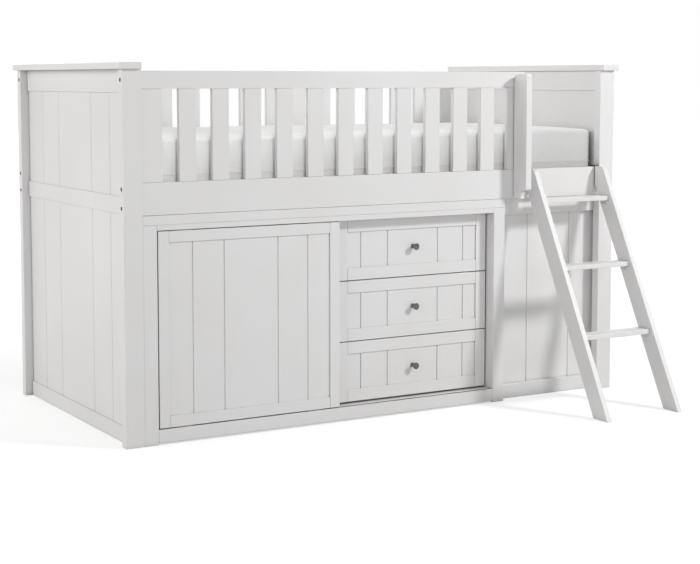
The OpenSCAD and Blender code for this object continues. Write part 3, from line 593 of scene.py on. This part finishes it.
def subdivided(obj):
    """Applies one Catmull-Clark subdivision."""
    smooth = obj.modifiers.new("Smooth", "SUBSURF")
    smooth.levels = smooth.render_levels = 1
    made = bpy.data.meshes.new_from_object(obj.evaluated_get(bpy.context.evaluated_depsgraph_get()))
    obj.modifiers.remove(smooth)
    old = obj.data
    obj.data = made
    bpy.data.meshes.remove(old)


# How far the mattress may swell, in metres, and under what pressure
SWELL, PRESSURE = 0.007, 0.12
# The puckers beside the seam: depth, reach above and below, and wave along it and up it
PUCKER, PUCKER_REACH, PUCKER_WAVE, PUCKER_RISE = 0.0009, 0.022, 0.017, 0.06
# Which slice of the noise they are taken from
PUCKER_SLICE = 3.1
# The cover's low waves: height, length, and how far above the underside they begin
WAVE, WAVE_LENGTH, WAVE_START = 0.0012, 0.16, 0.02
# A side's normal has at least this much of its length level
UPRIGHT = 0.5
PIPING = 0.0024

points, faces, indices, pinned, seam = mattress_form()
mattress = object_of("mattress_soft", points, faces, [COVER, COVER_LOW], indices)
puff(mattress, pinned, SWELL, PRESSURE)
seam_path = [mattress.data.vertices[k].co.copy() for k in seam]
subdivided(mattress)
low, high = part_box("mattress")
normals = [v.normal.copy() for v in mattress.data.vertices]
places = [v.co.copy() for v in mattress.data.vertices]
for k, (place, normal) in enumerate(zip(places, normals)):
    away = Vector((normal.x, normal.y, 0))
    moved = place.copy()
    if away.length > UPRIGHT:
        around = place.x if abs(normal.y) > abs(normal.x) else place.y
        fade = math.exp(-abs(place.z - SEAM_Z) / PUCKER_REACH)
        spot = Vector((around / PUCKER_WAVE, place.z / PUCKER_RISE, PUCKER_SLICE))
        ripple = noise.noise(spot)
        moved += away.normalized() * (ripple * PUCKER * fade)
    if place.z > low.z + WAVE_START:
        moved += normal * (noise.noise(place / WAVE_LENGTH) * WAVE)
    places[k] = moved
mattress.data.vertices.foreach_set("co", [c for place in places for c in place])
mattress.data.update()
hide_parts("mattress")
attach(mattress, "bed")
piping = tube("mattress_piping", seam_path, PIPING, COVER_LOW)
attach(piping, "bed")

# ---------------------------------------------------------------- light, floor and camera

scene.view_settings.view_transform = "Standard"

# Name, place, what it points at, width across, power in watts, tint and what it lights
LAMPS = [
    ("key", (2.72, -3.7, 3.2), (0.1, 0.0, 0.6), 0.7, 117, (1, 1, 1), "wood"),
    ("left_fill", (-9.0, 2.5, 3.5), (0.0, 0.0, 0.6), 5.0, 290, (1.0, 0.98, 0.966), "all"),
    ("right_fill", (9.0, 3.0, 3.2), (0.0, 0.0, 0.6), 5.0, 190, (1, 1, 1), "all"),
    ("rear_fill", (0.5, 7.0, 3.0), (0.0, 0.0, 0.6), 5.0, 150, (1, 1, 1), "all"),
    ("front_left", (-6.0, -3.0, 2.5), (0.0, 0.0, 0.6), 4.0, 56, (1, 1, 1), "all"),
    ("front", (-0.5, -7.0, 1.8), (0.0, 0.0, 0.6), 3.0, 50, (1, 1, 1), "all"),
    ("top", (0.0, 0.2, 5.0), (0.0, 0.0, 0.6), 3.5, 15, (1, 1, 1), "all"),
    ("mattress_front", (-2.3, -5.3, 1.4), (0.1, 0.0, 0.9), 1.2, 152, (1, 1, 1), "bedding"),
    ("mattress_top", (0.0, 0.5, 4.2), (0.0, 0.3, 0.9), 0.8, 46, (1, 1, 1), "bedding"),
]
# The strength of the world's own light
AMBIENT = 0.26

# The photograph lights the mattress evenly between the slats. So the key leaves it out, and two
# soft lamps light nothing else
LIT = {
    "bedding": bpy.data.collections.new("bedding"),
    "wood": bpy.data.collections.new("all_but_bedding"),
}
for group, state in (("bedding", "INCLUDE"), ("wood", "EXCLUDE")):
    for soft in (mattress, piping):
        LIT[group].objects.link(soft)
    for member in LIT[group].collection_objects:
        member.light_linking.link_state = state

for name, place, aim, width, power, tint, lit in LAMPS:
    lamp = bpy.data.lights.new(name, "AREA")
    lamp.shape = "DISK"
    lamp.size = width
    lamp.energy = power
    lamp.color = tint
    stand = bpy.data.objects.new(name, lamp)
    scene.collection.objects.link(stand)
    stand.location = place
    stand.rotation_euler = (Vector(place) - Vector(aim)).to_track_quat("Z", "Y").to_euler()
    if lit in LIT:
        stand.light_linking.receiver_collection = LIT[lit]


def seen_directly(nodes, links):
    """1 for the rays that show the background: the camera's, and those of gloss and glass."""
    path = nodes.new("ShaderNodeLightPath")
    found = path.outputs["Is Camera Ray"]
    for kind in ("Is Glossy Ray", "Is Transmission Ray"):
        either = nodes.new("ShaderNodeMath")
        either.operation = "MAXIMUM"
        links.new(found, either.inputs[0])
        links.new(path.outputs[kind], either.inputs[1])
        found = either.outputs[0]
    return found


world = bpy.data.worlds.new("studio")
scene.world = world
world.use_nodes = True
nodes, links = world.node_tree.nodes, world.node_tree.links
nodes.clear()
seen = seen_directly(nodes, links)
level = nodes.new("ShaderNodeMapRange")
level.inputs["To Min"].default_value = AMBIENT
level.inputs["To Max"].default_value = 1.0
links.new(seen, level.inputs["Value"])
sky = nodes.new("ShaderNodeBackground")
sky.inputs["Color"].default_value = (1, 1, 1, 1)
links.new(level.outputs["Result"], sky.inputs["Strength"])
out = nodes.new("ShaderNodeOutputWorld")
links.new(sky.outputs[0], out.inputs["Surface"])

# The floor's width, and how far it lies under the bed's feet, in metres
FLOOR_SIZE, FLOOR_DROP = 60, 0.0005
# The floor's own tone, and its glow at a distance from the middle: it grows to the background's
FLOOR_TONE = (0.6, 0.6, 0.6, 1)
NEAR, NEAR_GLOW = 1.5, 0.55
FAR, FAR_GLOW = 6.0, 1.0

bpy.ops.mesh.primitive_plane_add(size=FLOOR_SIZE, location=(0, 0, -FLOOR_DROP))
floor = bpy.context.object
floor.name = "floor"
pale = bpy.data.materials.new("pale_floor")
pale.use_nodes = True
nodes, links = pale.node_tree.nodes, pale.node_tree.links
nodes.clear()
matt = nodes.new("ShaderNodeBsdfDiffuse")
matt.inputs["Color"].default_value = FLOOR_TONE
glow = nodes.new("ShaderNodeEmission")
spot = nodes.new("ShaderNodeNewGeometry")
away = nodes.new("ShaderNodeVectorMath")
away.operation = "LENGTH"
links.new(spot.outputs["Position"], away.inputs[0])
reach = nodes.new("ShaderNodeMapRange")
reach.inputs["From Min"].default_value = NEAR
reach.inputs["From Max"].default_value = FAR
reach.inputs["To Min"].default_value = NEAR_GLOW
reach.inputs["To Max"].default_value = FAR_GLOW
links.new(away.outputs["Value"], reach.inputs["Value"])
lift = nodes.new("ShaderNodeMath")
lift.operation = "MULTIPLY"
links.new(seen_directly(nodes, links), lift.inputs[0])
links.new(reach.outputs["Result"], lift.inputs[1])
links.new(lift.outputs[0], glow.inputs["Strength"])
both = nodes.new("ShaderNodeAddShader")
links.new(matt.outputs[0], both.inputs[0])
links.new(glow.outputs[0], both.inputs[1])
out = nodes.new("ShaderNodeOutputMaterial")
links.new(both.outputs[0], out.inputs["Surface"])
floor.data.materials.append(pale)
floor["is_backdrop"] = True

# The lens, place and turn that put the posts' and rails' corners where the photograph has them
lens = bpy.data.cameras.new("camera")
camera = bpy.data.objects.new("camera", lens)
scene.collection.objects.link(camera)
lens.sensor_fit = "HORIZONTAL"
lens.sensor_width = 36
lens.lens = 79.58
lens.shift_y = -0.1
camera.location = (-2.87425, -4.89021, 1.19382)
camera.rotation_euler = (math.radians(85.0932), 0, math.radians(-30.4294))
scene.camera = camera

low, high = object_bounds()
